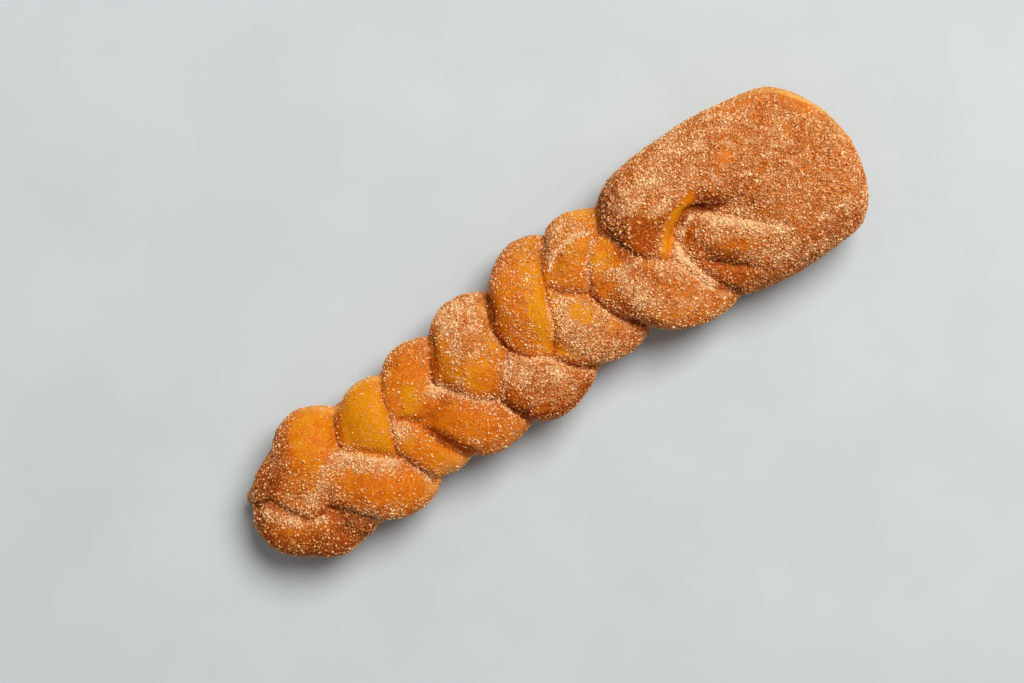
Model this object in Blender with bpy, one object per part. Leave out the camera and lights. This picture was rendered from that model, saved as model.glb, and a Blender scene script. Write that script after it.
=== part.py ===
"""A long twisted doughnut: one piece of yeast dough, cut into three strips and plaited.

The strips leave a smooth uncut head at +X and are pinched together in a small tail at -X. The
crossings of the plait are numbered from the tail to the head. Even ones lie on the -Y side, odd
ones on the +Y side, and strip N passes over at the crossings N, N + 3, N + 6 and so on. Between
two of them it turns round the edge and passes beneath the other strips.
"""
import math

import bpy
import numpy as np

MM = 0.001
NODE = "twisted_doughnut"

# The strips of dough, in millimetres.
MID_HEIGHT = 15.5           # height of a strip's middle line at the waist
UNDER_HEIGHT = 8.5          # the same where it passes beneath
UNDER_ACROSS = 8.5          # its distance from the long axis there
UNDER_HALF_WIDTH = 9.5
UNDER_DELAY = 1.6           # crossings from the top of a strip to its lowest place
STRIP_HALF_HEIGHT = 9.0
SHOULDER_DROP = 1.5         # how much lower a crossing's shoulders are than its top
SHOULDER_LENGTH = 0.72      # from the top to the shoulders, in half widths of the strip
DIVE_LENGTH = 1.55          # from the top to where the strip has dived, in half widths
DIVE_NARROWING = 0.7        # and how narrow
SHOULDER_NARROWING = 0.92
TURN_SHIFT = 1.5            # the turn's middle line lies this much nearer to the head
STRIP_POWER = 2.8           # a section's squareness: 2 is an ellipse

# One row for each crossing: place along, place across, slant from the long axis in degrees,
# half width, place along of the turn round the edge, outermost reach across, height of the top,
# height of the middle line where the strip dives.
CROSSINGS = (
    (-100.0, -11.6, 34.0, 9.7, -83.0, 21.5, 28.0, 13.0),
    (-91.5, 8.2, 42.0, 12.2, -81.2, 19.3, 31.0, 13.0),
    (-77.0, -10.5, 46.0, 10.2, -68.2, 25.6, 31.0, 13.5),
    (-66.0, 6.6, 64.0, 9.8, -56.4, 17.6, 31.0, 13.0),
    (-56.3, -8.3, 60.0, 8.8, -50.6, 21.8, 28.5, 13.0),
    (-48.0, 8.6, 64.0, 9.8, -38.4, 20.2, 30.0, 13.0),
    (-38.7, -10.3, 50.0, 10.3, -28.8, 24.1, 31.5, 13.5),
    (-27.5, 8.2, 70.0, 10.8, -21.8, 25.2, 33.0, 13.0),
    (-14.8, -11.7, 50.0, 11.2, -1.6, 22.9, 31.5, 13.0),
    (-2.6, 11.0, 66.0, 10.7, 6.0, 29.2, 33.0, 13.0),
    (9.3, -6.0, 57.0, 10.3, 17.2, 22.4, 31.5, 14.0),
    (19.3, 13.0, 60.0, 10.2, 26.8, 26.3, 31.5, 13.0),
    (36.0, -5.8, 62.0, 13.5, 50.5, 29.2, 34.0, 17.0),
)
HEAD_CROSSINGS = (52.0, 66.0)   # places along of the two crossings that the head is part of

# Where each strip ends: place along, place across, height, half width, half height.
TAIL_ENDS = (
    ((-113.5, 5.0, 10.0, 4.0, 6.0), (-112.8, -1.4, 12.5, 6.6, 9.0), (-108.5, -7.6, 15.5, 8.5, 10.0)),
    ((-110.8, -5.5, 11.0, 8.3, 8.0), (-104.5, 2.3, 17.5, 11.9, 9.0)),
    ((-116.2, 7.0, 9.5, 4.2, 6.0), (-111.0, 8.0, 10.5, 4.2, 7.5), (-104.0, 9.0, 11.0, 5.8, 8.5),
     (-98.0, 8.0, 10.5, 7.5, 9.0)),
)
HEAD_ENDS = (
    ((54.0, -8.0, 13.0, 5.0, 8.0), (59.0, -18.9, 17.0, 7.4, 10.0), (67.0, -22.2, 16.5, 7.5, 12.5),
     (77.0, -22.0, 17.0, 10.1, 15.0), (92.0, -17.5, 17.5, 15.0, 16.5), (106.0, -13.0, 17.5, 14.0, 16.0)),
    ((38.0, -9.0, 11.0, 6.0, 7.5), (42.0, 0.5, 20.0, 8.8, 9.5), (45.2, 13.1, 23.5, 14.4, 12.5),
     (55.0, 16.0, 21.5, 14.2, 15.0), (74.0, 14.8, 19.0, 15.8, 17.6), (95.0, 8.0, 18.5, 20.0, 17.6)),
    ((53.5, 4.5, 12.0, 5.0, 8.0), (59.0, -2.5, 21.0, 7.2, 9.5), (66.5, -8.5, 22.5, 9.0, 11.5),
     (76.0, -15.5, 21.0, 9.8, 13.0), (86.0, -18.5, 18.8, 11.5, 16.0), (98.0, -15.0, 18.0, 13.0, 16.5)),
)
CORE = ((-100.0, 0.0, 13.0, 6.0, 7.0), (-60.0, 0.0, 15.0, 7.0, 8.0), (0.0, 2.0, 15.0, 8.0, 8.0),
        (70.0, 0.0, 16.0, 12.0, 10.0))

# The uncut head.
HEAD_START = 66.0           # its round inner end
HEAD_SWOLLEN = 82.0         # full width from here
HEAD_NARROWS = 72.0         # the round outer end's curve starts here
HEAD_END = 118.2
HEAD_ACROSS = -0.8
HEAD_HEIGHT = 18.5          # height of its waist
HEAD_HALF_WIDTH = 30.3
HEAD_HALF_HEIGHT = 18.0
HEAD_POWER = 2.7
HEAD_PLAN_POWER = 3.9       # squareness of the outer end, seen from above
HEAD_BEND = 0.09            # how much the outer end leans to -Y
HEAD_BEND_START = 85.0
HEAD_SLANT = 0.6            # slant of the inner end, along the fold where the strips leave it
FOLD_ACROSS = 4.0           # the fold's deepest place, across

# The underside is flat where it would be lower than this.
REST_HEIGHT = 1.4

# The mesh.
RINGS = 10                  # between two stations of a strip
RING_POINTS = 28
HEAD_RINGS = 60
VOXEL = 1.2
SOFTEN_STEPS = 2
HEAD_BLEND_STEPS = 25
TRIANGLES = 9000
CRUST_COLOUR = (0.50, 0.22, 0.07, 1.0)
CRUST_ROUGHNESS = 0.6


def side_of(crossing):
    """+1 where a crossing lies on the +Y side, -1 where it lies on the -Y side."""
    return 1 if crossing % 2 else -1


def place_along(crossing):
    """Place along of a crossing's number, which may be a fraction."""
    places = [row[0] for row in CROSSINGS] + list(HEAD_CROSSINGS)
    return float(np.interp(crossing, range(len(places)), places))


def over_stations(number):
    """A strip where it passes over: its dive, near shoulder, top, far shoulder and turn."""
    x, y, slant, half_width, turn_x, reach, top, dive_height = CROSSINGS[number]
    side = side_of(number)
    middle = np.array((x, y))
    ahead = np.array((math.cos(math.radians(slant)), side * math.sin(math.radians(slant))))
    height = top - STRIP_HALF_HEIGHT
    shoulder = SHOULDER_LENGTH * half_width * ahead
    dive = middle - DIVE_LENGTH * half_width * ahead
    return [
        (*dive, dive_height, DIVE_NARROWING * half_width, STRIP_HALF_HEIGHT - 1.0),
        (*(middle - shoulder), height - SHOULDER_DROP, SHOULDER_NARROWING * half_width,
         STRIP_HALF_HEIGHT),
        (*middle, height, half_width, STRIP_HALF_HEIGHT),
        (*(middle + 0.7 * shoulder), height - SHOULDER_DROP, half_width, STRIP_HALF_HEIGHT + 0.5),
        (turn_x + TURN_SHIFT, side * (reach - half_width), MID_HEIGHT, half_width,
         STRIP_HALF_HEIGHT + 1.0),
    ]


def under_station(number):
    """Where the strip that passes over at this crossing is lowest after its turn."""
    return (place_along(number + UNDER_DELAY), side_of(number) * UNDER_ACROSS, UNDER_HEIGHT,
            UNDER_HALF_WIDTH, UNDER_HEIGHT)


def strip_stations(strip):
    """All stations of one strip, from the tail to the head."""
    stations = list(TAIL_ENDS[strip])
    for number in range(strip, len(CROSSINGS), 3):
        stations += over_stations(number)[2 if number < 2 else 0:]
        stations.append(under_station(number))
    return stations + list(HEAD_ENDS[strip])


def smooth_path(stations, steps=RINGS):
    """A Catmull-Rom curve through the stations, with all that is given for each."""
    knots = np.array(stations, dtype=float)
    knots = np.vstack([2 * knots[0] - knots[1], knots, 2 * knots[-1] - knots[-2]])
    rows = []
    for before, start, end, after in zip(knots, knots[1:], knots[2:], knots[3:]):
        for t in np.arange(steps) / steps:
            bend = 2 * before - 5 * start + 4 * end - after
            twist = 3 * start - before - 3 * end + after
            rows.append(0.5 * (2 * start + (end - before) * t + bend * t ** 2 + twist * t ** 3))
    rows.append(knots[-2])
    return np.array(rows)


def head_path():
    """The head's straight middle line, with its half widths and half heights."""
    rows = []
    for turn in np.linspace(0, math.pi, HEAD_RINGS):
        x = (HEAD_START + HEAD_END) / 2 - (HEAD_END - HEAD_START) / 2 * math.cos(turn)
        outer = max(0, (x - HEAD_NARROWS) / (HEAD_END - HEAD_NARROWS))
        inner = max(0, (HEAD_SWOLLEN - x) / (HEAD_SWOLLEN - HEAD_START))
        swell = max(0.001, 1 - outer ** HEAD_PLAN_POWER) ** (1 / HEAD_PLAN_POWER)
        swell *= max(0.001, 1 - inner ** 2.2) ** (1 / 2.2)
        rows.append((x, HEAD_ACROSS, HEAD_HEIGHT, HEAD_HALF_WIDTH * swell,
                     HEAD_HALF_HEIGHT * swell ** 0.8))
    return np.array(rows)


def ring(half_width, half_height, power):
    """Distances across and up of a rounded outline, ellipse-like for a power of 2."""
    turn = np.linspace(0, 2 * math.pi, RING_POINTS, endpoint=False)
    across, up = np.cos(turn), np.sin(turn)
    return (half_width * np.sign(across) * np.abs(across) ** (2 / power),
            half_height * np.sign(up) * np.abs(up) ** (2 / power))


def tube(path, power):
    """Points and faces of a closed tube with rounded ends along a path."""
    centres = path[:, :3]
    ahead = np.gradient(centres, axis=0)
    ahead /= np.linalg.norm(ahead, axis=1)[:, None]
    lengths = np.linalg.norm(np.diff(centres, axis=0), axis=1)
    travelled = np.concatenate([[0], np.cumsum(lengths)])
    points = []
    for i, (half_width, half_height) in enumerate(path[:, 3:]):
        to_end = min(travelled[i], travelled[-1] - travelled[i]) / min(half_width, half_height)
        round_off = math.sqrt(max(0.0001, 1 - (1 - min(1, 1.1 * to_end)) ** 2))
        side = np.cross(ahead[i], (0, 0, 1))
        side /= np.linalg.norm(side)
        up = np.cross(side, ahead[i])
        across, high = ring(half_width * round_off, half_height * round_off, power)
        points.append(centres[i] + across[:, None] * side + high[:, None] * up)
    return np.vstack(points), tube_faces(len(path))


def tube_faces(rings):
    """Faces between the rings of a tube, and one across each end."""
    faces = []
    for start in range(0, (rings - 1) * RING_POINTS, RING_POINTS):
        for j in range(RING_POINTS):
            k = (j + 1) % RING_POINTS
            faces.append((start + j, start + k, start + RING_POINTS + k, start + RING_POINTS + j))
    last = (rings - 1) * RING_POINTS
    faces.append(tuple(reversed(range(RING_POINTS))))
    faces.append(tuple(range(last, last + RING_POINTS)))
    return faces


def head_shape():
    """The head, its inner end slanted along the fold and its outer end leaning to -Y."""
    points, faces = tube(head_path(), HEAD_POWER)
    inner = np.clip((HEAD_END - points[:, 0]) / (HEAD_END - HEAD_START), 0, 1)
    points[:, 0] += HEAD_SLANT * inner ** 2 * (FOLD_ACROSS - points[:, 1])
    points[:, 1] -= HEAD_BEND * np.maximum(0, points[:, 0] - HEAD_BEND_START)
    return points, faces


def dough_shapes():
    """The strips, the dough between them and the head, as overlapping closed shapes."""
    shapes = [tube(smooth_path(strip_stations(strip)), STRIP_POWER) for strip in range(3)]
    shapes.append(tube(smooth_path(CORE), STRIP_POWER))
    shapes.append(head_shape())
    return shapes


def joined_mesh(name, shapes):
    """One mesh that holds all the shapes, in metres."""
    points = np.vstack([some for some, _ in shapes])
    faces = []
    start = 0
    for some, some_faces in shapes:
        faces += [tuple(start + i for i in face) for face in some_faces]
        start += len(some)
    mesh = bpy.data.meshes.new(name)
    mesh.from_pydata((points * MM).tolist(), [], faces)
    return mesh


def add_object(name, mesh):
    obj = bpy.data.objects.new(name, mesh)
    bpy.context.scene.collection.objects.link(obj)
    return obj


def applied(obj):
    """A new mesh with the object's modifiers applied, in place of the object."""
    graph = bpy.context.evaluated_depsgraph_get()
    mesh = bpy.data.meshes.new_from_object(obj.evaluated_get(graph), depsgraph=graph)
    bpy.data.objects.remove(obj, do_unlink=True)
    return mesh


def vertex_places(mesh):
    places = np.empty(len(mesh.vertices) * 3, dtype=np.float32)
    mesh.vertices.foreach_get("co", places)
    return places.reshape(-1, 3).astype(float) / MM


def one_body(shapes):
    """The shapes grown together into one skin, soft where they meet."""
    obj = add_object("shapes", joined_mesh("shapes", shapes))
    skin = obj.modifiers.new("skin", "REMESH")
    skin.mode = "VOXEL"
    skin.voxel_size = VOXEL * MM
    soften = obj.modifiers.new("soften", "SMOOTH")
    soften.factor = 0.5
    soften.iterations = SOFTEN_STEPS
    return applied(obj)


def head_weight(x, y):
    """0 in the plait and at the fold, rising to 1 in the smooth head."""
    slant = np.where(y < FOLD_ACROSS, 0.7, 1.6)
    return np.clip((x - 74.0 - slant * (FOLD_ACROSS - y)) / 8.0, 0, 1)


def blend_head(mesh):
    """The head smoothed into one pillow, without marks where the strips enter it."""
    obj = add_object("blended", mesh)
    group = obj.vertex_groups.new(name="head")
    places = vertex_places(mesh)
    for index, weight in enumerate(head_weight(places[:, 0], places[:, 1])):
        if weight > 0:
            group.add([index], float(weight), "REPLACE")
    blend = obj.modifiers.new("blend", "SMOOTH")
    blend.factor = 0.5
    blend.iterations = HEAD_BLEND_STEPS
    blend.vertex_group = "head"
    fewer = obj.modifiers.new("fewer", "DECIMATE")
    fewer.ratio = TRIANGLES / (2 * len(mesh.polygons))
    return applied(obj)


def settle(mesh):
    """The underside flattened, and the middle of its box put above the origin."""
    places = vertex_places(mesh)
    places[:, 2] = np.maximum(places[:, 2], REST_HEIGHT) - REST_HEIGHT
    low, high = places.min(axis=0), places.max(axis=0)
    places[:, :2] -= (low[:2] + high[:2]) / 2
    mesh.vertices.foreach_set("co", (places * MM).astype(np.float32).ravel())
    mesh.update()


def crust():
    material = bpy.data.materials.new("crust")
    material.use_nodes = True
    shader = material.node_tree.nodes["Principled BSDF"]
    shader.inputs["Base Color"].default_value = CRUST_COLOUR
    shader.inputs["Roughness"].default_value = CRUST_ROUGHNESS
    shader.inputs["Metallic"].default_value = 0.0
    return material


def build():
    for obj in list(bpy.data.objects):
        bpy.data.objects.remove(obj, do_unlink=True)
    mesh = blend_head(one_body(dough_shapes()))
    settle(mesh)
    mesh.name = NODE
    mesh.shade_smooth()
    mesh.materials.append(crust())
    add_object(NODE, mesh)


build()
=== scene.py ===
"""The looks of a long twisted doughnut: fried plaited dough under a rough coat of cinnamon sugar.

Lengths are in millimetres until a mesh is made. +X runs from the tail to the head, +Z is up.
"""

import math

import bpy
import numpy as np
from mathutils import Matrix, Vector


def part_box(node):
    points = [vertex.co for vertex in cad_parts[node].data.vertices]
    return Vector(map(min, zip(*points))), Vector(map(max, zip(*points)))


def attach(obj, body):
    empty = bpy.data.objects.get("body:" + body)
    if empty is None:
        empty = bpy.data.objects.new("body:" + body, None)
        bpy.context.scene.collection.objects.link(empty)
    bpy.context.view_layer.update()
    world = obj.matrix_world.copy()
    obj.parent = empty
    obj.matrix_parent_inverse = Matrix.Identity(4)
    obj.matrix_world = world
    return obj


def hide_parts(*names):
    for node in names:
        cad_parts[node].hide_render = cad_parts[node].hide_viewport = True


MM = 0.001
NODE = "twisted_doughnut"
BODY = "root"

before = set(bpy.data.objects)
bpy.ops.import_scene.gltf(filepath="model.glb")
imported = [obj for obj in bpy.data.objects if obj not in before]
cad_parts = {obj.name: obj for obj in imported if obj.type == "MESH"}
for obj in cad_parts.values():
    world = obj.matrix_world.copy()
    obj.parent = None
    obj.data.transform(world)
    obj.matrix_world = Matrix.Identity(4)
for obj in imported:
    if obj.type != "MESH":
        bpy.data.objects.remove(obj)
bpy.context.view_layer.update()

# -------- the strips of dough
# The same plait as the solid's. The crossings are numbered from the tail to the head: even ones
# lie on the -Y side, odd ones on the +Y side, and strip N passes over at N, N + 3, N + 6 and on.
MID_HEIGHT = 15.5           # height of a strip's middle line at the waist
UNDER_HEIGHT = 8.5          # the same where it passes beneath
UNDER_ACROSS = 8.5          # its distance from the long axis there
UNDER_HALF_WIDTH = 9.5
UNDER_DELAY = 1.6           # crossings from the top of a strip to its lowest place
STRIP_HALF_HEIGHT = 9.0
SHOULDER_DROP = 1.5         # how much lower a crossing's shoulders are than its top
SHOULDER_LENGTH = 0.72      # from the top to the shoulders, in half widths of the strip
DIVE_LENGTH = 1.55          # from the top to where the strip has dived, in half widths
DIVE_NARROWING = 0.7        # and how narrow
SHOULDER_NARROWING = 0.92
FAR_SHOULDER = 0.7          # the far shoulder's distance, as a share of the near one's
DIVE_THINNER = 1.0          # how much the half height changes along the strip
FAR_SHOULDER_THICKER = 0.5
TURN_THICKER = 1.0
TURN_SHIFT = 1.5            # the turn's middle line lies this much nearer to the head
STRIP_POWER = 2.8           # a section's squareness: 2 is an ellipse

# One row for each crossing: place along, place across, slant from the long axis in degrees,
# half width, place along of the turn round the edge, outermost reach across, height of the top,
# height of the middle line where the strip dives.
CROSSINGS = (
    (-100, -11.6, 34, 9.7, -83, 21.5, 28, 13),
    (-91.5, 8.2, 42, 12.2, -81.2, 19.3, 31, 13),
    (-77, -10.5, 46, 10.2, -68.2, 25.6, 31, 13.5),
    (-66, 6.6, 64, 9.8, -56.4, 17.6, 31, 13),
    (-56.3, -8.3, 60, 8.8, -50.6, 21.8, 28.5, 13),
    (-48, 8.6, 64, 9.8, -38.4, 20.2, 30, 13),
    (-38.7, -10.3, 50, 10.3, -28.8, 24.1, 31.5, 13.5),
    (-27.5, 8.2, 70, 10.8, -21.8, 25.2, 33, 13),
    (-14.8, -11.7, 50, 11.2, -1.6, 22.9, 31.5, 13),
    (-2.6, 11, 66, 10.7, 6, 29.2, 33, 13),
    (9.3, -6, 57, 10.3, 17.2, 22.4, 31.5, 14),
    (19.3, 13, 60, 10.2, 26.8, 26.3, 31.5, 13),
    (36, -5.8, 62, 13.5, 50.5, 29.2, 34, 17),
)
HEAD_CROSSINGS = (52.0, 66.0)   # places along of the two crossings that the head is part of

# Where each strip ends: place along, place across, height, half width, half height.
TAIL_ENDS = (
    ((-113.5, 5, 10, 4, 6), (-112.8, -1.4, 12.5, 6.6, 9), (-108.5, -7.6, 15.5, 8.5, 10)),
    ((-110.8, -5.5, 11, 8.3, 8), (-104.5, 2.3, 17.5, 11.9, 9)),
    ((-116.2, 7, 9.5, 4.2, 6), (-111, 8, 10.5, 4.2, 7.5), (-104, 9, 11, 5.8, 8.5),
     (-98, 8, 10.5, 7.5, 9)),
)
HEAD_ENDS = (
    ((54, -8, 13, 5, 8), (59, -18.9, 17, 7.4, 10), (67, -22.2, 16.5, 7.5, 12.5),
     (77, -22, 17, 10.1, 15), (92, -17.5, 17.5, 15, 16.5), (106, -13, 17.5, 14, 16)),
    ((38, -9, 11, 6, 7.5), (42, 0.5, 20, 8.8, 9.5), (45.2, 13.1, 23.5, 14.4, 12.5),
     (55, 16, 21.5, 14.2, 15), (74, 14.8, 19, 15.8, 17.6), (95, 8, 18.5, 20, 17.6)),
    ((53.5, 4.5, 12, 5, 8), (59, -2.5, 21, 7.2, 9.5), (66.5, -8.5, 22.5, 9, 11.5),
     (76, -15.5, 21, 9.8, 13), (86, -18.5, 18.8, 11.5, 16), (98, -15, 18, 13, 16.5)),
)
CORE = ((-100, 0, 13, 6, 7), (-60, 0, 15, 7, 8), (0, 2, 15, 8, 8), (70, 0, 16, 12, 10))

# The uncut head.
HEAD_START = 66.0           # its round inner end
HEAD_SWOLLEN = 82.0         # full width from here
HEAD_NARROWS = 72.0         # the round outer end's curve starts here
HEAD_END = 118.2
HEAD_ACROSS = -0.8
HEAD_HEIGHT = 18.5          # height of its waist
HEAD_HALF_WIDTH = 30.3
HEAD_HALF_HEIGHT = 18.0
HEAD_POWER = 2.7
HEAD_PLAN_POWER = 3.9       # squareness of the outer end, seen from above
HEAD_INNER_POWER = 2.2      # and of the inner end
HEAD_END_HEIGHT = 0.8       # below 1 the height shrinks less than the width towards the ends
HEAD_LEAST = 0.001          # keeps the first and last ring open
HEAD_BEND = 0.09            # how much the outer end leans to -Y
HEAD_BEND_START = 85.0
HEAD_SLANT = 0.6            # slant of the inner end, along the fold where the strips leave it
FOLD_ACROSS = 4.0           # the fold's deepest place, across

# The underside is flat where it would be lower than this.
REST_HEIGHT = 1.4

RINGS = 16                  # of a strip, between two of its stations
RING_POINTS = 48
HEAD_RINGS = 120
END_SHARPNESS = 1.1         # how quickly a tube's rounded end reaches its full width
END_LEAST = 0.0001          # keeps its first and last ring open
VOXEL = 0.74                # size of the cubes in which the shapes grow together
SOFTEN_STEPS = 6
# Dough beneath the strips, so that no gap between them reaches deeper than a crease should.
BED = ((-106, -3, 13, 8, 10), (-90, -2, 15, 12, 11.5), (-60, 0.5, 15, 13, 12),
       (-25, 0.5, 15.5, 14, 12.5), (0, 3.5, 15.5, 15, 12.5), (20, 3, 16, 15, 13.5),
       (50, 0, 16, 17, 12), (75, -2, 16, 14, 10))
# The strips melt into the smooth head from here on, over this length and this much aslant
# on the -Y and the +Y side of the fold.
HEAD_BLEND_START = 74.0
HEAD_BLEND_LENGTH = 8.0
HEAD_BLEND_SLANTS = (0.7, 1.6)
HEAD_BLEND_STEPS = 70


def side_of(crossing):
    """+1 where a crossing lies on the +Y side, -1 where it lies on the -Y side."""
    return 1 if crossing % 2 else -1


def place_along(crossing):
    """Place along of a crossing's number, which may be a fraction."""
    places = [row[0] for row in CROSSINGS] + list(HEAD_CROSSINGS)
    return float(np.interp(crossing, range(len(places)), places))


def over_stations(number):
    """A strip where it passes over: its dive, near shoulder, top, far shoulder and turn."""
    x, y, slant, half_width, turn_x, reach, top, dive_height = CROSSINGS[number]
    side = side_of(number)
    middle = np.array((x, y))
    ahead = np.array((math.cos(math.radians(slant)), side * math.sin(math.radians(slant))))
    height = top - STRIP_HALF_HEIGHT
    shoulder = SHOULDER_LENGTH * half_width * ahead
    dive = middle - DIVE_LENGTH * half_width * ahead
    return [
        (*dive, dive_height, DIVE_NARROWING * half_width, STRIP_HALF_HEIGHT - DIVE_THINNER),
        (*(middle - shoulder), height - SHOULDER_DROP, SHOULDER_NARROWING * half_width,
         STRIP_HALF_HEIGHT),
        (*middle, height, half_width, STRIP_HALF_HEIGHT),
        (*(middle + FAR_SHOULDER * shoulder), height - SHOULDER_DROP, half_width,
         STRIP_HALF_HEIGHT + FAR_SHOULDER_THICKER),
        (turn_x + TURN_SHIFT, side * (reach - half_width), MID_HEIGHT, half_width,
         STRIP_HALF_HEIGHT + TURN_THICKER),
    ]


def under_station(number):
    """Where the strip that passes over at this crossing is lowest after its turn."""
    return (place_along(number + UNDER_DELAY), side_of(number) * UNDER_ACROSS, UNDER_HEIGHT,
            UNDER_HALF_WIDTH, UNDER_HEIGHT)


def strip_stations(strip):
    """All stations of one strip, from the tail to the head."""
    stations = list(TAIL_ENDS[strip])
    for number in range(strip, len(CROSSINGS), 3):
        stations += over_stations(number)[2 if number < 2 else 0:]
        stations.append(under_station(number))
    return stations + list(HEAD_ENDS[strip])


def smooth_path(stations, steps=RINGS):
    """A Catmull-Rom curve through the stations, with all that is given for each."""
    knots = np.array(stations, dtype=float)
    knots = np.vstack([2 * knots[0] - knots[1], knots, 2 * knots[-1] - knots[-2]])
    rows = []
    for before, start, end, after in zip(knots, knots[1:], knots[2:], knots[3:]):
        for t in np.arange(steps) / steps:
            bend = 2 * before - 5 * start + 4 * end - after
            twist = 3 * start - before - 3 * end + after
            rows.append(0.5 * (2 * start + (end - before) * t + bend * t ** 2 + twist * t ** 3))
    rows.append(knots[-2])
    return np.array(rows)


def head_path():
    """The head's straight middle line, with its half widths and half heights."""
    rows = []
    for turn in np.linspace(0, math.pi, HEAD_RINGS):
        x = (HEAD_START + HEAD_END) / 2 - (HEAD_END - HEAD_START) / 2 * math.cos(turn)
        outer = max(0, (x - HEAD_NARROWS) / (HEAD_END - HEAD_NARROWS))
        inner = max(0, (HEAD_SWOLLEN - x) / (HEAD_SWOLLEN - HEAD_START))
        swell = max(HEAD_LEAST, 1 - outer ** HEAD_PLAN_POWER) ** (1 / HEAD_PLAN_POWER)
        swell *= max(HEAD_LEAST, 1 - inner ** HEAD_INNER_POWER) ** (1 / HEAD_INNER_POWER)
        rows.append((x, HEAD_ACROSS, HEAD_HEIGHT, HEAD_HALF_WIDTH * swell,
                     HEAD_HALF_HEIGHT * swell ** HEAD_END_HEIGHT))
    return np.array(rows)


def ring(half_width, half_height, power):
    """Distances across and up of a rounded outline, ellipse-like for a power of 2."""
    turn = np.linspace(0, 2 * math.pi, RING_POINTS, endpoint=False)
    across, up = np.cos(turn), np.sin(turn)
    return (half_width * np.sign(across) * np.abs(across) ** (2 / power),
            half_height * np.sign(up) * np.abs(up) ** (2 / power))


def tube(path, power):
    """Points and faces of a closed tube with rounded ends along a path."""
    centres = path[:, :3]
    ahead = np.gradient(centres, axis=0)
    ahead /= np.linalg.norm(ahead, axis=1)[:, None]
    lengths = np.linalg.norm(np.diff(centres, axis=0), axis=1)
    travelled = np.concatenate([[0], np.cumsum(lengths)])
    points = []
    for i, (half_width, half_height) in enumerate(path[:, 3:]):
        to_end = min(travelled[i], travelled[-1] - travelled[i]) / min(half_width, half_height)
        round_off = math.sqrt(max(END_LEAST, 1 - (1 - min(1, END_SHARPNESS * to_end)) ** 2))
        side = np.cross(ahead[i], (0, 0, 1))
        side /= np.linalg.norm(side)
        up = np.cross(side, ahead[i])
        across, high = ring(half_width * round_off, half_height * round_off, power)
        points.append(centres[i] + across[:, None] * side + high[:, None] * up)
    return np.vstack(points), tube_faces(len(path))


def tube_faces(rings):
    """Faces between the rings of a tube, and one across each end."""
    faces = []
    for start in range(0, (rings - 1) * RING_POINTS, RING_POINTS):
        for j in range(RING_POINTS):
            k = (j + 1) % RING_POINTS
            faces.append((start + j, start + k, start + RING_POINTS + k, start + RING_POINTS + j))
    last = (rings - 1) * RING_POINTS
    faces.append(tuple(reversed(range(RING_POINTS))))
    faces.append(tuple(range(last, last + RING_POINTS)))
    return faces


def head_shape():
    """The head, its inner end slanted along the fold and its outer end leaning to -Y."""
    points, faces = tube(head_path(), HEAD_POWER)
    inner = np.clip((HEAD_END - points[:, 0]) / (HEAD_END - HEAD_START), 0, 1)
    points[:, 0] += HEAD_SLANT * inner ** 2 * (FOLD_ACROSS - points[:, 1])
    points[:, 1] -= HEAD_BEND * np.maximum(0, points[:, 0] - HEAD_BEND_START)
    return points, faces


def dough_shapes():
    """The strips, the dough between them and the head, as overlapping closed shapes."""
    shapes = [tube(smooth_path(strip_stations(strip)), STRIP_POWER) for strip in range(3)]
    shapes.append(tube(smooth_path(CORE), STRIP_POWER))
    shapes.append(head_shape())
    return shapes


# -------- meshes
def joined_mesh(name, shapes):
    """One mesh that holds all the shapes, in metres."""
    points = np.vstack([some for some, _ in shapes])
    faces = []
    start = 0
    for some, some_faces in shapes:
        faces += [tuple(start + i for i in face) for face in some_faces]
        start += len(some)
    mesh = bpy.data.meshes.new(name)
    mesh.from_pydata((points * MM).tolist(), [], faces)
    return mesh


def add_object(name, data):
    """An object of the scene that holds a mesh, a light or a camera."""
    obj = bpy.data.objects.new(name, data)
    bpy.context.scene.collection.objects.link(obj)
    return obj


def applied(obj):
    """A new mesh with the object's modifiers applied, in place of the object."""
    graph = bpy.context.evaluated_depsgraph_get()
    mesh = bpy.data.meshes.new_from_object(obj.evaluated_get(graph), depsgraph=graph)
    bpy.data.objects.remove(obj, do_unlink=True)
    return mesh


def read(items, what, width, kind=np.float32):
    """One property of all the items of a mesh, as rows of numbers."""
    values = np.empty(len(items) * width, dtype=kind)
    items.foreach_get(what, values)
    return values.reshape(-1, width)


def places_of(mesh):
    """The vertices' places, in millimetres."""
    return read(mesh.vertices, "co", 3).astype(float) / MM


def move_to(mesh, places):
    """Moves the vertices, to places in millimetres."""
    mesh.vertices.foreach_set("co", (places * MM).astype(np.float32).ravel())
    mesh.update()


def normals_of(mesh):
    """The directions that the vertices face."""
    return read(mesh.vertex_normals, "vector", 3).astype(float)


def edges_of(mesh):
    """The two vertices of each edge."""
    return read(mesh.edges, "vertices", 2, np.int32)


def store(mesh, name, values):
    """Keeps one number for each vertex, for the materials to read."""
    attribute = mesh.attributes.new(name, "FLOAT", "POINT")
    attribute.data.foreach_set("value", np.asarray(values, dtype=np.float32))


def ramp(value, start, end):
    """0 at start, 1 at end, smooth between."""
    t = np.clip((value - start) / (end - start), 0, 1)
    return t * t * (3 - 2 * t)


LATTICE = 48                # random numbers each way before they repeat


def lumps(places, size, seed):
    """Smooth random numbers from -1 to 1 that change over the given size."""
    lattice = np.random.default_rng(seed).uniform(-1, 1, (LATTICE,) * 3)
    cell = np.floor(places / size).astype(int)
    part = places / size - cell
    part = part * part * (3 - 2 * part)
    total = np.zeros(len(places))
    for corner in np.ndindex(2, 2, 2):
        weight = np.prod(np.where(corner, part, 1 - part), axis=1)
        index = (cell + corner) % LATTICE
        total += weight * lattice[index[:, 0], index[:, 1], index[:, 2]]
    return total


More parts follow.
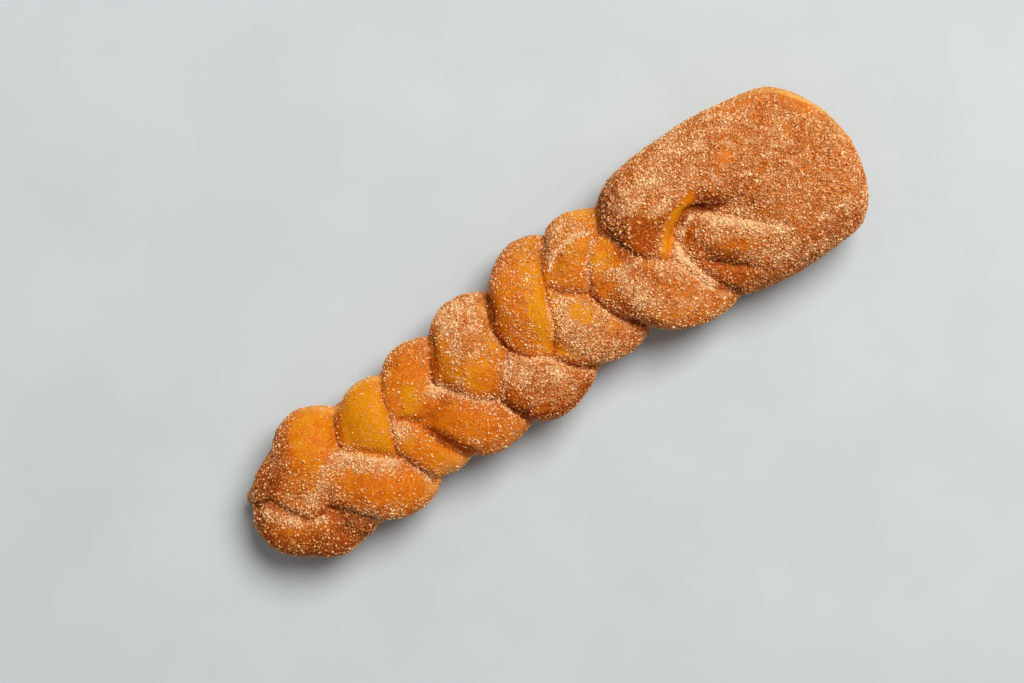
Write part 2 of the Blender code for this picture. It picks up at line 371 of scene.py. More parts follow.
def layered(places, layers, base=0.0):
    """A base with lumps added in layers, each with a weight, a size and a seed."""
    return sum((weight * lumps(places, size, seed) for weight, size, seed in layers), base)


def one_body(shapes):
    """The shapes grown together into one skin, soft where they meet."""
    obj = add_object("shapes", joined_mesh("shapes", shapes))
    skin = obj.modifiers.new("skin", "REMESH")
    skin.mode = "VOXEL"
    skin.voxel_size = VOXEL * MM
    soften = obj.modifiers.new("soften", "SMOOTH")
    soften.factor = 0.5
    soften.iterations = SOFTEN_STEPS
    return applied(obj)


def head_weight(x, y):
    """0 in the plait and at the fold, rising to 1 in the smooth head."""
    slant = np.where(y < FOLD_ACROSS, *HEAD_BLEND_SLANTS)
    return np.clip((x - HEAD_BLEND_START - slant * (FOLD_ACROSS - y)) / HEAD_BLEND_LENGTH, 0, 1)


def neighbour_mean(places, edges, counts):
    """The mean place of each vertex's neighbours."""
    total = np.empty_like(places)
    for axis in range(3):
        total[:, axis] = (np.bincount(edges[:, 0], places[edges[:, 1], axis], len(places))
                          + np.bincount(edges[:, 1], places[edges[:, 0], axis], len(places)))
    return total / counts[:, None]


def smoothed(places, edges, steps, weight=1.0):
    """The places after some steps halfway to the neighbours' mean, or less where weight is less."""
    counts = np.bincount(edges.ravel(), minlength=len(places)).astype(float)
    share = 0.5 * np.broadcast_to(weight, len(places))[:, None]
    for _ in range(steps):
        places = places + share * (neighbour_mean(places, edges, counts) - places)
    return places


# -------- relief of the dough
# The maps of the relief and of the coat give places as they are seen from above this place, at
# this distance, drawn on the level of the waist. Their middle is not quite the dough's.
SEEN_FROM = (-12.2, 3.6)
SEEN_DISTANCE = 806.0
WAIST_HEIGHT = 16.0
MAP_SHIFT = -0.3


def seen(places):
    """Where each place is seen: x and y on the level of the waist."""
    scale = SEEN_DISTANCE / (SEEN_DISTANCE + WAIST_HEIGHT - places[:, 2])
    x, y = (middle + (places[:, axis] - middle) * scale for axis, middle in enumerate(SEEN_FROM))
    return x, y + MAP_SHIFT


# Where one strip lies on the next: the side on which the upper strip lies, seen along the line,
# how wide its rounded edge is, how wide the lower strip's slope is, how dark the painted shade
# of its line is, and its points with their depths. The first lines run inwards from the outline.
LEFT, RIGHT = 1, -1
CREASES = (
    # Along the +Y edge.
    (LEFT, 5, 6.5, 0.8,
     ((-71.5, 27, 2), (-74, 18.5, 3.2), (-77, 13, 3.4), (-79, 8, 3.2), (-79, 5, 2.6))),
    (LEFT, 4.5, 6, 0.4,
     ((-52.5, 26, 2), (-55.5, 18.5, 3), (-58.3, 12, 3.2), (-60, 5, 3))),
    (LEFT, 5, 6.5, 0.55,
     ((-30.5, 28, 2), (-34.5, 19.5, 3.4), (-39, 12, 4), (-41.5, 6.5, 4.6), (-40, 4, 3.6))),
    (LEFT, 5, 6.5, 0.9,
     ((-6.5, 30, 2), (-10.5, 20.5, 4), (-14.5, 12, 5), (-15.3, 8, 5), (-15, 3, 4))),
    (LEFT, 4.5, 6, 0.7,
     ((21, 33, 1.6), (16, 26, 2.6), (10.3, 18.7, 2.8), (7.7, 12.5, 3))),
    (LEFT, 4, 5, 0.65,
     ((40, 31, 1.4), (36.4, 24.2, 2.2), (32, 17, 2.4))),
    # Along the -Y edge.
    (RIGHT, 5, 6.5, 0.7,
     ((-80, -28, 2), (-83.5, -20.8, 3.2), (-87, -16.5, 3.8), (-90.5, -11.5, 4.4), (-94, -7, 4.4))),
    (RIGHT, 4.5, 5.5, 0.45,
     ((-58, -28, 2), (-60, -19.5, 3.2), (-62.5, -13, 3.4), (-64.5, -7, 3.2))),
    (RIGHT, 6.5, 7, 0.5,
     ((-43, -28, 1.8), (-46.7, -19, 3.2), (-50.2, -12, 3.6), (-52, -6.5, 2.8), (-53, -2.5, 2))),
    (RIGHT, 4.5, 6, 0.7,
     ((-19, -30, 2), (-22.3, -21.5, 3.6), (-24.8, -16.5, 4), (-26.5, -10.5, 4))),
    (RIGHT, 5, 6, 0.7,
     ((10, -27, 2), (5.3, -20, 3.8), (0.5, -15.5, 4.4), (-3.5, -9.5, 4))),
    (RIGHT, 4.5, 5, 0.9,
     ((34, -27, 1.6), (28, -18.5, 3.4), (22.5, -11.5, 4), (19.5, -4, 4.2), (18, 1.5, 3.4))),
    # Between the two rows, from the tail to the head.
    (RIGHT, 4, 6, 0.6,
     ((-118, 9, 1), (-114.5, 6, 2.4), (-110, 5, 2.4), (-108, 1, 2.8), (-104.5, -5, 3),
      (-100, -8, 3.2), (-94, -7.5, 4))),
    (LEFT, 5, 7, 0.2,
     ((-94, -7, 3.4), (-90, -3, 1.8), (-85, 0.5, 1.4), (-79.5, 4.5, 2.2))),
    (RIGHT, 4.5, 6.5, 0.4,
     ((-79.5, 4.5, 2.4), (-76, 2, 2.4), (-72, -1.5, 2.6), (-67.5, -5.5, 3), (-65, -7, 3.2))),
    (RIGHT, 4, 5, 0.5,
     ((-60, 5, 2.8), (-62.5, 0, 2.6), (-65, -5.5, 3))),
    (RIGHT, 4, 6.5, 0.5,
     ((-60, 4.5, 2.8), (-57, 2, 2.2), (-53, -1.5, 2.6))),
    (LEFT, 4.5, 6, 0.2,
     ((-53, -2.5, 2.4), (-49.5, -1.3, 2.4), (-45, 1, 1.4), (-41, 4.5, 3.2))),
    (RIGHT, 4.5, 6.5, 0.5,
     ((-40.5, 4.5, 3.6), (-38, 0.5, 3.2), (-35, -3.5, 3.2), (-31.5, -7, 3.4), (-26.5, -10.5, 3.6))),
    (LEFT, 4, 6, 0.5,
     ((-26.5, -10, 3.6), (-22.5, -6.5, 3.2), (-19, -3.5, 3.2), (-15, 2.5, 3.8))),
    (RIGHT, 4.5, 6.5, 0.6,
     ((-15, 1.5, 3.6), (-12, -2.7, 2.8), (-8, -6, 2.8), (-3.5, -8.5, 3.4))),
    (LEFT, 4.5, 6.5, 0.5,
     ((-3.5, -8.5, 3.6), (-1, -5, 3.2), (2.3, -0.5, 3.2), (5, 6, 3), (7.7, 12.5, 3.4))),
    (RIGHT, 4.5, 6, 0.5,
     ((7.7, 12, 3.4), (9.5, 8.5, 2.8), (12.5, 5.5, 2.8), (18, 1.8, 3.4))),
    (LEFT, 4, 5.5, 0.3,
     ((18, 1.8, 3.6), (20.5, 6, 3), (24, 11.5, 2.6), (28, 15, 2.6), (32, 17.5, 3))),
    (RIGHT, 4, 4.5, 0.75,
     ((32, 17, 2.8), (34.5, 11.5, 3.4), (37, 5, 3.6), (40, 0.7, 3.4), (47.5, -4, 2.8))),
    # Where the strips enter the head.
    (RIGHT, 4, 4, 0.3,
     ((47.5, -4, 3), (49.8, -9, 3.2), (51.2, -14, 3.2), (53, -19, 3.2), (59.5, -28, 3))),
    (LEFT, 4.5, 4, 0.3,
     ((53, 1.5, 3.6), (52.6, -4, 3.6), (53, -9, 3.6), (54.3, -14, 3.4), (56.5, -21, 3),
      (60.5, -29, 2.4))),
    (LEFT, 3, 5, 0.1,
     ((47.5, -4, 3.2), (50.5, -0.7, 4.2), (54, 2.4, 5), (58.7, 4.7, 5.6))),
    (LEFT, 3, 5, 1,
     ((57, 4, 4.8), (58.7, 4.7, 5.6), (63, 4.4, 5.8), (66, 2.8, 5.4))),
    (LEFT, 7, 5, 0.8,
     ((60, 4.8, 4.6), (63, 4.4, 5.4), (65.7, 3.1, 5.4), (68, 0.8, 4.8), (70.3, -1.3, 4),
      (73, -4.2, 3.3), (75.5, -7.2, 2.7), (78.4, -10.4, 2), (81.5, -13.8, 1.2), (86, -17.5, 0.3))),
    (LEFT, 3, 4.5, 0.2,
     ((55, -10, 0.5), (58.7, -13, 1.5), (62, -16.5, 1.8), (66, -19.8, 1.6), (71, -24.8, 0.7))),
)
CREASE_POWER = 2.8          # how round the edges beside a crease are
CREASE_WIDTH = 0.64         # all widths above are multiplied by this
CREASE_AT_SIDE = 0.1        # share of a crease's depth on upright flanks
CREASE_FOOT = 8.0           # below this height a crease fades out
CREASE_SOFTENING = 2
PLAIN_STEPS = 90            # smoothing of the top before the creases are pressed in
PLAIN_RISE = 0.45           # what the top gains back afterwards
LINE_STEPS = 4              # stretches of a curved line between two of its own points
BROAD_STEPS = 60            # smoothing that leaves only the broad form
TOP_SLOPES = (0.15, 0.6)    # upward part of the normal where the flanks end and the top begins

# Folds in the dough that are finer than the strips: points of the line, depth, half width.
# They lie on the top alone: upward part of the normal, and height, between which they start.
GROOVE_SLOPES = (0.1, 0.5)
GROOVE_HEIGHTS = (15.0, 19.0)
GROOVES = (
    (((12.5, 16), (18, 19.8), (24, 21), (29, 19.5)), 1.6, 1.3),
    (((45, 17), (54, 23), (66, 26), (80, 25)), 0.9, 3.2),
    (((54.5, -3), (55.5, 0), (58, 1.6), (61, 1.8)), 1, 0.9),
    (((21, 4), (27, 7), (32, 5), (38, 3)), 0.7, 1.6),
    (((28, 3), (34, 1.5), (40, 0.5)), 0.4, 1),
    (((-47, -8), (-41, -12.5), (-33, -19)), 0.4, 1.6),
    (((-20, -19), (-13, -21.8), (-5, -22.4), (2, -20)), 1.2, 0.8),
)
# Swellings and blisters, in layers: weight, size, seed. They fade out below this height.
SWELLINGS = ((0.45, 13.0, 11), (0.18, 5.0, 12), (0.09, 2.2, 13))
SWELLING_FOOT = 4.0


def crease_depths(x, y, wider=1.0):
    """How deep the creases press each place in, how much of that is painted dark shade, and how much
    lies on the upper strip's edge, where the painted red glow goes.
    """
    drop, dark, upper = np.zeros((3, len(x)))
    for upper_side, upper_width, lower_width, shade_darkness, points in CREASES:
        line = smooth_path(points, LINE_STEPS)
        gap, side, depth = line_distance(x, y, line)
        width = wider * CREASE_WIDTH * np.where(side == upper_side, upper_width, lower_width)
        press = depth * np.clip(1 - gap / width, 0, 1) ** CREASE_POWER
        drop, dark = np.maximum(drop, press), np.maximum(dark, shade_darkness * press)
        upper = np.maximum(upper, min(1, 2 * shade_darkness) * press * (side == upper_side))
    return drop, dark, upper


def crease_share(top):
    """The share of a crease's depth that is pressed in: all of it on the top, less on flanks."""
    return CREASE_AT_SIDE + (1 - CREASE_AT_SIDE) * top


def upperness(places, edges, mesh):
    """1 on the top, 0 on the flanks and beneath, whatever the strips' own relief."""
    spare = mesh.copy()
    move_to(spare, smoothed(places, edges, BROAD_STEPS))
    level = normals_of(spare)[:, 2]
    bpy.data.meshes.remove(spare)
    return ramp(level, *TOP_SLOPES)


def press_creases(mesh):
    """The top made plain, then pressed in along the creases."""
    places, edges = places_of(mesh), edges_of(mesh)
    top = upperness(places, edges, mesh)
    places = smoothed(places, edges, PLAIN_STEPS, top)
    move_to(mesh, places)
    normals = normals_of(mesh)
    places += normals * (PLAIN_RISE * top)[:, None]
    drop, _, _ = crease_depths(*seen(places))
    drop *= crease_share(top)
    drop *= ramp(places[:, 2], 0.0, CREASE_FOOT)
    places -= normals * drop[:, None]
    move_to(mesh, smoothed(places, edges, CREASE_SOFTENING))


def line_distance(x, y, line):
    """Distance from a line, on which side of it, and the line's own value at the nearest place.

    The line's points are rows of place along, place across and a value.
    """
    nearest = np.full(len(x), np.inf)
    side = np.ones(len(x))
    value = np.zeros(len(x))
    for start, end in zip(line, line[1:]):
        run = end - start
        t = ((x - start[0]) * run[0] + (y - start[1]) * run[1]) / (run[:2] @ run[:2])
        t = np.clip(t, 0, 1)
        away_x, away_y = x - start[0] - t * run[0], y - start[1] - t * run[1]
        gap = np.hypot(away_x, away_y)
        closer = gap < nearest
        nearest[closer] = gap[closer]
        side[closer] = np.sign(run[0] * away_y - run[1] * away_x)[closer]
        value[closer] = (start[2] + t * run[2])[closer]
    return nearest, side, value


def press_grooves(places, normals):
    """The finer folds, pressed into the top."""
    x, y = seen(places)
    drop = np.zeros(len(places))
    for points, depth, half_width in GROOVES:
        along = np.linspace(0, 1, len(points))
        line = smooth_path(np.column_stack([points, np.sin(math.pi * along)]), LINE_STEPS)
        gap, _, fade = line_distance(x, y, line)
        drop += depth * fade * np.exp(-(gap / half_width) ** 2)
    upper = ramp(normals[:, 2], *GROOVE_SLOPES) * ramp(places[:, 2], *GROOVE_HEIGHTS)
    places[:, 2] -= drop * upper
    return places


def add_lumps(places, normals):
    """Unevenness of dough that has risen and fried: broad swellings, then finer blisters."""
    height = layered(places, SWELLINGS) * ramp(places[:, 2], 0.0, SWELLING_FOOT)
    places += normals * height[:, None]
    places[:, 2] = np.maximum(places[:, 2], 0.0)
    return places


def settle(places):
    """The underside flattened, and the whole put where the solid stands."""
    places[:, 2] = np.maximum(places[:, 2], REST_HEIGHT) - REST_HEIGHT
    low, high = (np.array(corner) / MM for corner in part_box(NODE))
    places[:, :2] += ((low + high - places.min(axis=0) - places.max(axis=0)) / 2)[:2]
    return places


# -------- where the coat lies
# Patches: x, y, half length, half width, direction in degrees, strength; two on a line.
# Places that the sugar missed or fell from.
BARE_PATCHES = (
    (-84.5, 15, 13, 7, 38, 1), (-92, 8, 11, 5.5, 40, 0.7),
    (-102, -11.5, 9, 3.2, -18, 0.5), (-103, -17, 12, 4, -25, 0.35),
    (-111, -6, 8, 3.5, -62, 0.45), (-103, 8, 7, 4, 50, 0.3),
    (-68.5, 11, 11.5, 8.3, 72, 1), (-69.5, -0.5, 5, 4, 60, 0.95),
    (-83, -4.5, 8, 3.2, -48, 0.9), (-75, -12, 11, 4.8, -38, 0.85),
    (-66, -20, 5, 3, -40, 0.6), (-50, 9.5, 10, 6, 65, 0.95),
    (-45, 18, 4, 2.5, 20, 0.5), (-54.5, 1, 4, 2.5, -40, 0.7),
    (-55.5, -12, 9, 4, -62, 0.95), (-49.8, -12, 10, 3, -62, 1),
    (-45.5, -5, 7, 4.5, -50, 1), (-38, -12.5, 7, 3.8, -48, 0.85),
    (-46, -15, 5, 2.2, -60, 0.8), (-28, -1.5, 6, 5, 60, 0.75),
    (-35.5, 11, 8, 3, 66, 0.6), (-23, -11.5, 6, 3, -50, 0.65),
    (2.5, 4, 12, 3.4, 66, 1), (-3, 17, 8, 5, 60, 0.35),
    (-11, 13, 8, 1.8, 66, 0.6), (-19, -8, 5, 1.5, 40, 0.5),
    (-20, -20, 7, 2, -12, 0.6), (19, 14, 7.5, 4.6, 30, 0.25),
    (31, 26, 4, 1.8, -15, 0.8), (31.5, 10.5, 6.5, 4, 62, 0.45),
    (24.5, -1, 5, 2.5, -65, 0.75), (11.5, -2, 5, 3, -60, 0.6),
    (49.5, 0.9, 5, 1.9, 46, 1), (59, 7.4, 8.5, 1.6, 16, 1),
    (68.5, 3.5, 4.5, 2.4, -60, 0.45), (43, 7, 8, 3.2, 66, 0.75),
    (46.5, 11, 6, 4.5, 70, 0.5), (62, -19, 6.5, 2.4, -55, 0.7),
    (68, -12.5, 6, 2.4, -42, 0.6), (56.4, -1.2, 4.2, 0.9, 38, 1),
    (65, -13.5, 4, 2.2, -40, 0.5), (97, 25.5, 9, 2, -16, 0.4),
    (81, 13, 3, 2, 0, 0.45), (112, 14, 8, 2, -62, 0.5),
)
# Places where cinnamon and the finest sugar cover the crust all over; elsewhere it shows.
COATED = (
    (92, 0, 34, 36, 0, 1), (62, 23, 22, 10, 8, 1),
    (70, -6, 20, 9, -45, 0.9), (57, -17, 10, 8, -50, 0.6),
    (42, -12, 18, 10.5, -55, 0.45), (31, 22, 9, 5, -10, 0.4),
    (17, 22.5, 8, 4, 20, 0.4), (12, -9, 14, 10, -57, 0.75),
    (-3, 21, 9, 6, 60, 0.3), (-12, -13, 13, 8, -45, 0.7),
    (-22.5, 18, 12, 7, 60, 0.75), (-36, -21, 7, 4, 0, 0.4),
    (-56, -16, 7, 4, -60, 0.3), (-93, -0.5, 14, 6, 10, 0.7),
    (-101, 12, 13, 4, 48, 0.5), (-76, -3, 9, 4, -42, 0.6),
    (-103, -14, 16, 9, -30, 0.35),
)
# Places where sugar has gathered.
DRIFTS = (
    (-85, 1.5, 9, 4, 12, 0.7), (-73, -5.5, 8, 3, -42, 0.65),
    (-98, 2, 6, 5, 45, 0.4), (-68, 4, 5.5, 3.5, 62, 0.15),
    (-58.5, -1, 4, 2.5, -50, 0.8), (-43.5, 5, 4, 2.5, -30, 1),
    (-27.5, 21.5, 6, 1.4, 52, 0.65), (-23, 21, 8, 1.6, 56, 0.65),
    (-17.5, 19.5, 6, 1.5, 60, 0.6), (-16, -7, 6, 4, -40, 0.55),
    (-8, -13, 6, 4, -45, 0.5), (6, 1.5, 7, 3.5, 66, 0.9),
    (8, -7, 9, 5, -60, 0.4), (21, 24, 9, 2.5, 5, 0.35),
    (31, -5.5, 7.5, 3.8, -60, 0.7), (45, -7, 6, 2.5, -60, 0.4),
    (54, 12.5, 4, 2.2, 0, 0.9), (62, 21, 14, 5, 8, 0.3),
    (60, 3, 5, 1, 10, 0.4), (70, -6, 10, 4, -42, 0.4),
)
# Lines of sugar caught in and along the creases: half width, strength, points.
SUGAR_LINES = (
    (1.5, 0.8, ((-112.5, 2.5), (-109, -3), (-104, -7.7), (-97.5, -10.3))),
    (1.6, 0.7, ((-89, -12), (-86, -16.5), (-82.5, -20.5))),
    (1.3, 0.8, ((-80, 3.5), (-76, 0.5), (-71.5, -4), (-66.5, -8))),
    (0.9, 0.9, ((-64, -9), (-62, -14.5), (-60, -19.5))),
    (0.9, 0.6, ((-60, 6), (-61, 1), (-63.5, -4))),
    (1.4, 1, ((-41, 5), (-38, 0.8), (-35.5, -3), (-32, -6.7), (-28, -9.7))),
    (1.1, 0.9, ((-27, -10.5), (-22.5, -7.2), (-19, -4.3), (-15.7, 0))),
    (0.9, 0.8, ((-27.5, -11.5), (-26, -16), (-24, -20))),
    (1, 0.8, ((-12, -3.5), (-7.5, -7.3), (-3.5, -10), (0, -15.5), (4.5, -20))),
    (1.2, 0.6, ((0, -3), (4, 4), (7.5, 11))),
    (0.8, 1.2, ((12, 16), (15, 19), (20, 20.2), (25, 20.3), (29, 18.5))),
    (0.9, 0.6, ((20, 5), (24, 11), (29, 15.5))),
    (1.2, 0.8, ((27, 4.5), (31, 2.6), (34, 1.5), (40, 0.8))),
    (0.7, 0.7, ((33, 16), (35.5, 9.5), (38.5, 2.5), (44, -1.8))),
    (2.8, 1.6, ((50.6, -3.2), (50.8, -6), (51, -9))),
    (1.3, 1.4, ((50.8, -8), (51.2, -13), (53, -19.5))),
    (1.1, 1.2, ((49.5, -3.2), (52.5, -0.4), (56, 2.4), (60.5, 4))),
    # This line is partly sugar and partly a painted highlight along the lit upper edge of the head's
    # roll.
    (2.4, 1, ((64.5, 1), (70, -3.6), (75, -9), (79.5, -12.5), (84.5, -17))),
    (3, 0.35, ((46, 17), (54, 23), (63, 26), (78, 25))),
)
# Where the pale line round the waist shows from above.
PALE_RIMS = (
    (101, 26.5, 9, 5, -20, 0.8), (113, 16, 14, 6, -62, 1),
    (118, 2, 9, 4, -90, 0.8), (-64, 21, 10, 4, 0, 0.9),
    (-79, 22.5, 7, 3, -35, 0.5), (-40, 23, 5, 3, -10, 0.4),
    (-56, -20.5, 8, 4, 0, 0.5), (-36, -25, 9, 3.5, 0, 0.5),
    (28, 27.5, 8, 3.5, -10, 0.5),
)
PALE_LINES = (
    (0.8, 1, ((102, 26.6), (104.5, 25.1), (108.5, 21.6), (112.4, 16.7), (115.4, 11.5), (117.2, 6.5),
     (118, 1.5), (118.2, -2))),
    (0.7, 0.6, ((-83, 24.4), (-79, 22.6), (-76, 19.8), (-74.8, 17.7))),
    (1.1, 0.8, ((-71, 19.8), (-67, 20.8), (-61, 21.2), (-56.5, 20.3))),
)
# How brown the crust is, from 0, golden, to 1.4, darkest. On flanks that face away from the light and
# on the head's slope beside the fold, this darkness is partly painted shade.
BROWN_AND_SHADE_PATCHES = (
    (-101, -10.5, 10, 3, -15, 0.7), (-103, -17.5, 14, 4.5, -25, 0.95),
    (-101, 3, 12, 5, 55, 0.6), (-85, 13, 12, 8, 45, 0.32),
    (-101.5, 13, 12, 3.5, 42, 1), (-77, -12, 17, 9, -42, 0.5),
    (-66, 9, 13, 9, 68, 0.05), (-56, -11, 12, 6.5, -62, 0.4),
    (-45, 13, 12, 8, 65, 0.5), (-50.5, 7, 5, 4, 60, 0),
    (-40, -11, 14, 9, -48, 0.55), (-26, 10, 14, 11, 70, 0.2),
    (-14, -13, 14, 9, -45, 0.75), (-6, 12, 16, 5, 66, 0.45),
    (3, 8, 18, 5, 66, 0), (9, -5, 13, 8, -60, 0),
    (15, -18, 12, 4, -5, 0.8), (15, 13, 9, 6, 60, 0.45),
    (24, 23, 8, 5, 0, 0.2), (28, 9, 9, 4, 60, 0.3),
    (36, -10, 18, 8, -55, 0.45), (37.5, -5, 6, 2.6, -60, 1.1),
    (24, -1, 8, 3.5, -62, 0.7), (39, 14, 12, 4, 72, 1.25),
    (67, 7.8, 3.5, 3, 0, 1.1), (42, 9, 8, 3.5, 70, 0.9),
    (48, 10, 7, 4, 60, 0.9), (50, 1.3, 6, 2, 46, 0.1),
    (59.5, 7.4, 8.5, 1.6, 15, 0.15), (69.5, 3.2, 6, 3, -58, 1.15),
    (77, -4, 6, 3, -45, 0.8), (60, 18, 16, 8, 10, 0.5),
    (66, -8, 14, 5, -40, 0.6), (60, -18, 12, 4, -50, 0.95),
    (95, 0, 25, 28, 0, 0.45), (93, -28, 24, 4.5, 0, 1.1),
    (-89.5, -17.5, 8, 3.5, -55, 1.3), (-113.5, -7, 12, 4, -58, 0.8),
    (-49.5, -12, 9, 4, -62, 0.6), (-56.5, 7, 6, 2.5, 66, 0.6),
    (-11, -24, 12, 3, 5, 1.1),
)


# Edges of patches and lines, in their own half widths: where the strength is nil and where full.
PATCH_EDGE = (1.7, 0.6)
LINE_EDGE = (1.5, 0.3)
LINE_WOBBLE = 1.5           # how much more a line's edge wanders than a patch's
BROWN_BLEND = 2.5           # how quickly a patch of browning and painted shade gives way to its neighbours


def patch_reach(x, y, patch):
    """0 in the middle of a patch, 1 at its edge."""
    px, py, half_length, half_width, direction, _ = patch
    turn = math.radians(direction)
    ahead = (x - px) * math.cos(turn) + (y - py) * math.sin(turn)
    aside = (y - py) * math.cos(turn) - (x - px) * math.sin(turn)
    return np.hypot(ahead / half_length, aside / half_width)


def patch_strength(x, y, patches, wobble):
    """How strongly any of the patches covers each place, with an uneven, soft edge."""
    strength = np.zeros(len(x))
    for patch in patches:
        cover = ramp(patch_reach(x, y, patch) + wobble, *PATCH_EDGE)
        strength = np.maximum(strength, patch[5] * cover)
    return strength


def line_strength(x, y, lines, wobble):
    """The same for lines of even width."""
    strength = np.zeros(len(x))
    for half_width, most, points in lines:
        line = smooth_path(np.column_stack([points, np.zeros(len(points))]), LINE_STEPS)
        gap, _, _ = line_distance(x, y, line)
        cover = ramp(gap / half_width + LINE_WOBBLE * wobble, *LINE_EDGE)
        strength = np.maximum(strength, most * cover)
    return strength


def blended_brown_and_shade(x, y):
    """The browning and painted shade of the nearest patches, blended."""
    total = np.zeros(len(x))
    weights = np.full(len(x), 1e-9)
    for patch in BROWN_AND_SHADE_PATCHES:
        weight = np.exp(-BROWN_BLEND * patch_reach(x, y, patch) ** 2)
        total += weight * patch[5]
        weights += weight
    return total / weights


# The coat's unevenness, in layers: weight, size, seed.
EDGE_WOBBLE = ((0.24, 3.5, 21), (0.16, 1.3, 22))
STRAY_BARE = ((1.0, 11.0, 23), (0.4, 3.0, 24))
SUGAR_SPREAD = ((0.4, 6.0, 25), (0.4, 2.0, 29))
WAIST_RISE = ((1.5, 17.0, 26),)
WAIST_GAPS = ((1.0, 12.0, 27),)
BLOTCHES = ((1.0, 7.0, 28),)
HUES = ((0.5, 8.0, 31), (0.35, 3.0, 32))
RIM_EDGE = ((0.8, 4.0, 33),)
CLUMPS = ((0.5, 1.6, 41), (0.45, 3.4, 42))
THIN_PLACES = ((1.0, 5.0, 45), (0.5, 2.2, 46))

# Heights between which one thing gives way to another.
TOP_STARTS = (11.0, 17.0)   # the maps hold above, plain values below
RIM_ENDS = (26.5, 21.5)     # a rim is pale only below
GRAINS_START = (0.6, 1.4)   # none lies where the dough rests
UNDERSIDE = (-0.6, 0.2)     # upward part of the normal between which the coat thickens
WAIST_HALF_WIDTH = 3.2
LEAST_FILM = 0.12           # between the coated patches
FLANK_FILM = 0.7
FLANK_BROWN = 0.55
BROWN_MOST = 1.4
PLAIN_SUGAR = 0.7           # how densely grains lie where nothing else is said
SUGAR_LIMITS = (0.2, 2.0)
FINE_LINE = 0.45            # width of a crease's painted dark shade line, as a share of the crease's own
GLOW_WIDTH = 1.6            # and of the painted red glow beside it

# What the dough's material reads for each vertex.
CRUST_MAPS = ("painted_glow", "line", "film", "drift", "waist", "brown_and_shade", "hue", "clumps")


